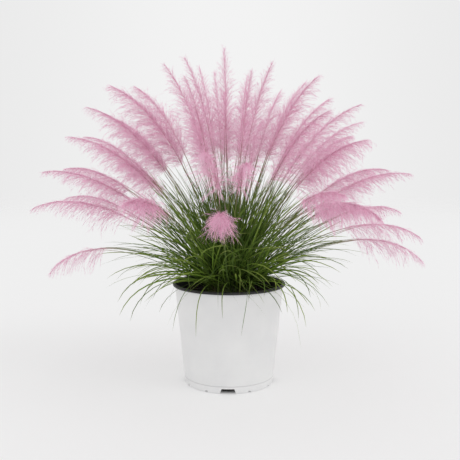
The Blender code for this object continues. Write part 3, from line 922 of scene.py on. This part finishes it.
def make_soil(materials):
    """The potting mix: a rough top with flakes of bark."""
    rng = np.random.default_rng(SOIL_SEED)
    builder = Builder()
    edge = wall_radius(SOIL_TOP) - WALL - GAP
    bottom = FLOOR_UNDERSIDE + FLOOR_THICKNESS + GAP
    shares = np.linspace(SOIL_MIDDLE, 1.0, SOIL_RINGS)
    spokes = even_turns(SOIL_STEPS)
    x = edge * shares[:, None] * np.cos(spokes)
    y = edge * shares[:, None] * np.sin(spokes)
    bumps = ripples(x, y, SOIL_WAVES_X) * ripples(y, x, SOIL_WAVES_Y)
    bumps += BUMP_SCATTER * rng.normal(size=x.shape) * shares[:, None]
    height = SOIL_TOP - SOIL_DIP + SOIL_BUMP * np.clip(bumps, -BUMP_LIMIT, BUMP_LIMIT)
    height = np.where(np.hypot(x, y) < CROWN_RADIUS, SOIL_TOP - SOIL_DIP, height)
    rings = np.stack([x, y, height], axis=-1)
    low_edge = wall_radius(bottom) - WALL - GAP
    side = np.stack([low_edge * np.cos(spokes), low_edge * np.sin(spokes),
                     np.full(SOIL_STEPS, bottom)], axis=-1)
    base = side * np.array([SOIL_MIDDLE, SOIL_MIDDLE, 1.0])
    grid = np.concatenate([rings, side[None], base[None]])[None]
    builder.sheets(grid, one_lane(grid.shape[1], SOIL_STEPS, SOIL_LANE), 0, closed=True)
    for _ in range(CHIPS):
        radius = math.sqrt(rng.uniform((CROWN_RADIUS * CROWN_SHRINK) ** 2, (edge - CHIP_INSET) ** 2))
        spoke = rng.uniform(0.0, 2.0 * math.pi)
        size = rng.uniform(*CHIP_SIZES)
        place = (radius * math.cos(spoke), radius * math.sin(spoke), SOIL_TOP - CHIP_SINK)
        add_chip(builder, rng, np.array(place), size)
    piece = builder.piece("bark_mix", materials, smooth=False)
    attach(piece, BODY)
    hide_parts("soil")


def maths(tree, operation, *inputs):
    """The result of a maths node over numbers and outputs."""
    made = tree.nodes.new("ShaderNodeMath")
    made.operation = operation
    for value, target in zip(inputs, made.inputs):
        if isinstance(value, float):
            target.default_value = value
        else:
            tree.links.new(value, target)
    return made.outputs[0]


class Look:
    """A material under construction: a Principled shader and short ways to add nodes."""

    def __init__(self, name, roughness, **settings):
        self.material = bpy.data.materials.new(name)
        self.material.use_nodes = True
        self.tree = self.material.node_tree
        self.shader = self.tree.nodes["Principled BSDF"]
        self.set(self.shader, Roughness=roughness, **settings)

    def set(self, node, **settings):
        """Sets inputs by name, with _ for a space."""
        for name, value in settings.items():
            node.inputs[name.replace("_", " ")].default_value = value

    def node(self, kind, **settings):
        """Adds a node with properties set."""
        made = self.tree.nodes.new(kind)
        for name, value in settings.items():
            setattr(made, name, value)
        return made

    def link(self, output, target):
        """Joins an output to an input."""
        self.tree.links.new(output, target)

    def ramp(self, value, stops):
        """A colour ramp over a value, from (place, colour) stops."""
        made = self.node("ShaderNodeValToRGB")
        elements = made.color_ramp.elements
        while len(elements) < len(stops):
            elements.new(0.5)
        for element, (place, colour) in zip(elements, stops):
            element.position = place
            element.color = (*colour, 1.0)
        self.link(value, made.inputs["Fac"])
        return made.outputs["Color"]

    def noise(self, vector, scale, detail=2.0, roughness=0.5):
        """A noise pattern's value."""
        made = self.node("ShaderNodeTexNoise")
        self.set(made, Scale=scale, Detail=detail, Roughness=roughness)
        self.link(vector, made.inputs["Vector"])
        return made.outputs["Fac"]

    def mix(self, blend, factor, first, second):
        """Two colours mixed. The factor is a number or an output."""
        made = self.node("ShaderNodeMix", data_type="RGBA", blend_type=blend)
        if isinstance(factor, float):
            made.inputs[0].default_value = factor
        else:
            self.link(factor, made.inputs[0])
        self.link(first, made.inputs[6])
        self.link(second, made.inputs[7])
        return made.outputs[2]

    def scaled(self, value, factor):
        """A value times a number."""
        return maths(self.tree, "MULTIPLY", value, factor)

    def map_places(self):
        """The piece's own map: along and lane, as two values, and the whole vector."""
        source = self.node("ShaderNodeUVMap", uv_map=MAP_NAME)
        parts = self.node("ShaderNodeSeparateXYZ")
        self.link(source.outputs["UV"], parts.inputs[0])
        return parts.outputs["X"], parts.outputs["Y"], source.outputs["UV"]

    def lane_noise(self, lane, scale):
        """A value that differs from lane to lane but not along one."""
        made = self.node("ShaderNodeTexNoise", noise_dimensions="1D")
        self.set(made, Scale=scale, Detail=1.0)
        self.link(lane, made.inputs["W"])
        return made.outputs["Fac"]

    def bump(self, height, strength, distance):
        """Bump from a height value."""
        made = self.node("ShaderNodeBump")
        self.set(made, Strength=strength, Distance=distance)
        self.link(height, made.inputs["Height"])
        self.link(made.outputs["Normal"], self.shader.inputs["Normal"])

    def colour(self, output):
        """Sends a colour to the shader."""
        self.link(output, self.shader.inputs["Base Color"])


def stalk_look():
    """Stalks: green at the crown, olive above, mauve where the plume begins."""
    look = Look("stalk", 0.7, Specular_IOR_Level=0.12)
    along, _, vector = look.map_places()
    colour = look.ramp(along, [
        (0.0, (0.07, 0.12, 0.025)),
        (0.34, (0.12, 0.18, 0.045)),
        (0.52, (0.26, 0.22, 0.12)),
        (0.66, (0.55, 0.32, 0.31)),
        (0.80, (0.78, 0.46, 0.55)),
        (1.0, (0.90, 0.61, 0.71)),
    ])
    streaks = look.ramp(look.noise(vector, 40.0), [(0.3, (0.78, 0.78, 0.78)), (0.7, WHITE)])
    look.colour(look.mix("MULTIPLY", 0.8, colour, streaks))
    return look.material


def hair_look():
    """Plume hairs: deeper pink at the foot of each, paler to its tip."""
    look = Look("plume_hair", 0.6, Specular_IOR_Level=0.2)
    along, lane, _ = look.map_places()
    deep = look.ramp(along, [
        (0.0, (0.82, 0.43, 0.59)),
        (0.45, (0.87, 0.53, 0.68)),
        (1.0, (0.92, 0.67, 0.79)),
    ])
    tint = look.ramp(look.lane_noise(lane, 60.0), [
        (0.30, (0.91, 0.86, 0.89)),
        (0.50, (0.98, 0.97, 0.98)),
        (0.70, WHITE),
    ])
    look.colour(look.mix("MULTIPLY", 0.9, deep, tint))
    return look.material


def blade_look():
    """Leaves: deep green, some yellower, drier towards the tip; the spread between dark and bright
    blades is partly painted light and shade.
    """
    look = Look("grass_blade", 0.70, Specular_IOR_Level=0.06)
    along, lane, _ = look.map_places()
    deep = look.ramp(along, [
        (0.0, (0.072, 0.105, 0.026)),
        (0.35, (0.100, 0.170, 0.030)),
        (0.80, (0.122, 0.200, 0.040)),
        (1.0, (0.190, 0.220, 0.080)),
    ])
    bright = look.ramp(along, [
        (0.0, (0.110, 0.170, 0.030)),
        (0.40, (0.190, 0.300, 0.045)),
        (1.0, (0.270, 0.330, 0.090)),
    ])
    # The bright lanes are partly a yellower green of the leaves and partly painted light. The lane
    # tint's darker end is partly each blade's own tone and partly painted shade.
    share = look.ramp(lane, [(0.59, BLACK), (0.61, WHITE)])
    tint = look.ramp(look.lane_noise(lane, 47.0), [
        (0.38, (0.40, 0.45, 0.42)),
        (0.50, (0.85, 0.87, 0.82)),
        (0.64, (1.0, 1.0, 0.90)),
    ])
    look.colour(look.mix("MULTIPLY", 1.0, look.mix("MIX", share, deep, bright), tint))
    return look.material


def sheath_look():
    """Shoot bases: straw and green."""
    look = Look("shoot_base", 0.6, Specular_IOR_Level=0.25)
    along, lane, _ = look.map_places()
    green = look.ramp(along, [(0.0, (0.045, 0.050, 0.020)), (1.0, (0.060, 0.110, 0.025))])
    straw = look.ramp(along, [(0.0, (0.120, 0.085, 0.040)), (1.0, (0.110, 0.120, 0.045))])
    share = look.ramp(look.lane_noise(lane, 31.0), [(0.45, BLACK), (0.60, WHITE)])
    look.colour(look.mix("MIX", share, green, straw))
    return look.material


def pot_white_look():
    """White moulded plastic: faint clouding and fine handling scuffs, with painted shade in the
    foot's crease.
    """
    look = Look("pot_white", 0.42, Specular_IOR_Level=0.4)
    vector = look.node("ShaderNodeTexCoord").outputs["Object"]
    clouds = look.ramp(look.noise(vector, 14.0, 3.0), [
        (0.30, (0.765, 0.765, 0.768)),
        (0.70, (0.815, 0.815, 0.812)),
    ])
    specks = look.ramp(look.noise(vector, 420.0, 2.0), [
        (0.24, (0.93, 0.93, 0.93)),
        (0.34, WHITE),
    ])
    height = look.node("ShaderNodeSeparateXYZ")
    look.link(vector, height.inputs[0])
    # Painted shade: a darker band at the height of the foot's crease. The ramp also makes the lowest
    # few millimetres slightly darker.
    crease_painted_shade = look.ramp(look.scaled(height.outputs["Z"], 1.0 / CREASE_SHADE_TOP), [
        (0.0, (0.94, 0.94, 0.94)),
        (0.10, WHITE),
        (0.62, WHITE),
        (0.70, (0.80, 0.80, 0.80)),
        (0.78, WHITE),
    ])
    look.colour(look.mix("MULTIPLY", 1.0, look.mix("MULTIPLY", 1.0, clouds, specks), crease_painted_shade))
    look.bump(look.noise(vector, 900.0, 2.0), 0.12, 0.0002)
    return look.material


def pot_black_look():
    """Black moulded plastic: satin, faintly mottled with grey."""
    look = Look("pot_black", 0.48, Specular_IOR_Level=0.32)
    vector = look.node("ShaderNodeTexCoord").outputs["Object"]
    look.colour(look.ramp(look.noise(vector, 120.0, 3.0), [
        (0.35, (0.012, 0.012, 0.012)),
        (0.75, (0.030, 0.030, 0.031)),
    ]))
    look.bump(look.noise(vector, 700.0, 2.0), 0.15, 0.0002)
    return look.material


def soil_look():
    """Dark damp mix."""
    look = Look("potting_mix", 0.9, Specular_IOR_Level=0.2)
    vector = look.node("ShaderNodeTexCoord").outputs["Object"]
    look.colour(look.ramp(look.noise(vector, 260.0, 4.0, 0.65), [
        (0.35, (0.003, 0.0025, 0.002)),
        (0.60, (0.012, 0.008, 0.006)),
        (0.80, (0.030, 0.020, 0.013)),
    ]))
    look.bump(look.noise(vector, 600.0, 4.0), 0.6, 0.0006)
    return look.material


def bark_look():
    """Flakes of bark, each its own brown."""
    look = Look("bark_flake", 0.85, Specular_IOR_Level=0.2)
    _, lane, vector = look.map_places()
    colour = look.ramp(look.lane_noise(lane, 40.0), [
        (0.30, (0.008, 0.005, 0.004)),
        (0.55, (0.026, 0.016, 0.010)),
        (0.75, (0.070, 0.043, 0.026)),
    ])
    grain = look.ramp(look.noise(vector, 300.0), [(0.3, (0.7, 0.7, 0.7)), (0.7, WHITE)])
    look.colour(look.mix("MULTIPLY", 0.7, colour, grain))
    return look.material


def floor_look():
    """A pale matt floor with a faint even glow, left off under the pot as painted shade there. It
    fades out far away.
    """
    look = Look("studio_floor", 0.9, Specular_IOR_Level=0.0, Base_Color=(*FLOOR_COLOUR, 1.0),
                Emission_Color=(*WHITE, 1.0))
    vector = look.node("ShaderNodeTexCoord").outputs["Object"]
    length = look.node("ShaderNodeVectorMath", operation="LENGTH")
    look.link(vector, length.inputs[0])
    fade = look.node("ShaderNodeMapRange", interpolation_type="SMOOTHSTEP")
    look.set(fade, From_Min=FLOOR_FADE[0], From_Max=FLOOR_FADE[1], To_Min=1.0, To_Max=0.0)
    look.link(length.outputs["Value"], fade.inputs["Value"])
    look.link(fade.outputs["Result"], look.shader.inputs["Alpha"])
    # Painted shade under the pot: the glow rises from nothing under the foot to full just outside
    # it.
    outside = look.node("ShaderNodeMapRange", interpolation_type="SMOOTHSTEP")
    look.set(outside, From_Min=FLOOR_GLOW_EDGES[0], From_Max=FLOOR_GLOW_EDGES[1])
    look.link(length.outputs["Value"], outside.inputs["Value"])
    strength = look.scaled(outside.outputs["Result"], FLOOR_GLOW)
    look.link(strength, look.shader.inputs["Emission Strength"])
    return look.material


def make_world():
    """Pale surroundings, a little brighter behind and in front of the object."""
    world = bpy.data.worlds.new("studio")
    bpy.context.scene.world = world
    world.use_nodes = True
    tree = world.node_tree
    place = tree.nodes.new("ShaderNodeTexCoord")
    parts = tree.nodes.new("ShaderNodeSeparateXYZ")
    tree.links.new(place.outputs["Generated"], parts.inputs[0])
    sideways = maths(tree, "MULTIPLY", parts.outputs["X"], parts.outputs["X"])
    middle = maths(tree, "POWER", maths(tree, "SUBTRACT", 1.0, sideways), WORLD_MIDDLE_POWER)
    level = maths(tree, "MULTIPLY_ADD", middle, WORLD_MIDDLE, WORLD_SIDES)
    background = tree.nodes["Background"]
    background.inputs["Color"].default_value = (*WHITE, 1.0)
    tree.links.new(level, background.inputs["Strength"])


def make_stage():
    """The floor, the pale surroundings and the soft light."""
    builder = Builder()
    outline = np.array([(radius, 0.0) for radius in reversed(FLOOR_RINGS)])
    add_turned(builder, outline, FLOOR_STEPS, 0)
    floor = builder.piece("studio_floor", [floor_look()])
    make_world()
    for name, strength, angle, way in LIGHTS:
        light = bpy.data.lights.new(name, "SUN")
        light.energy = strength
        light.angle = math.radians(angle)
        item = bpy.data.objects.new(name, light)
        item.rotation_euler = Vector(way).to_track_quat("-Z", "Y").to_euler()
        bpy.context.scene.collection.objects.link(item)


def make_camera():
    """The camera at the photograph's viewing angle."""
    data = bpy.data.cameras.new("camera")
    data.sensor_width = SENSOR_WIDTH
    data.lens = FOCAL_PIXELS * SENSOR_WIDTH / FRAME_PIXELS
    camera = bpy.data.objects.new("camera", data)
    camera.location = CAMERA_PLACE
    camera.rotation_euler = (math.radians(90.0 + CAMERA_PITCH), 0.0, 0.0)
    bpy.context.scene.collection.objects.link(camera)
    bpy.context.scene.camera = camera


def main():
    """Makes every piece, the stage and the camera."""
    make_camera()
    make_stage()
    bpy.context.scene.view_settings.view_transform = "Standard"
    make_pot([pot_white_look(), pot_black_look()])
    make_soil([soil_look(), bark_look()])
    make_crown([sheath_look()])
    blade = blade_look()
    for tuft in range(TUFTS):
        make_leaf_tuft(tuft, [blade])
    stalk, hair = stalk_look(), hair_look()
    rows = MIDDLE_AND_LEFT_STEMS + RIGHT_STEMS + FRONT_STEMS + BACK_STEMS
    for number, row in enumerate(rows, 1):
        make_flower_stem(number, row, [stalk, hair])


main()
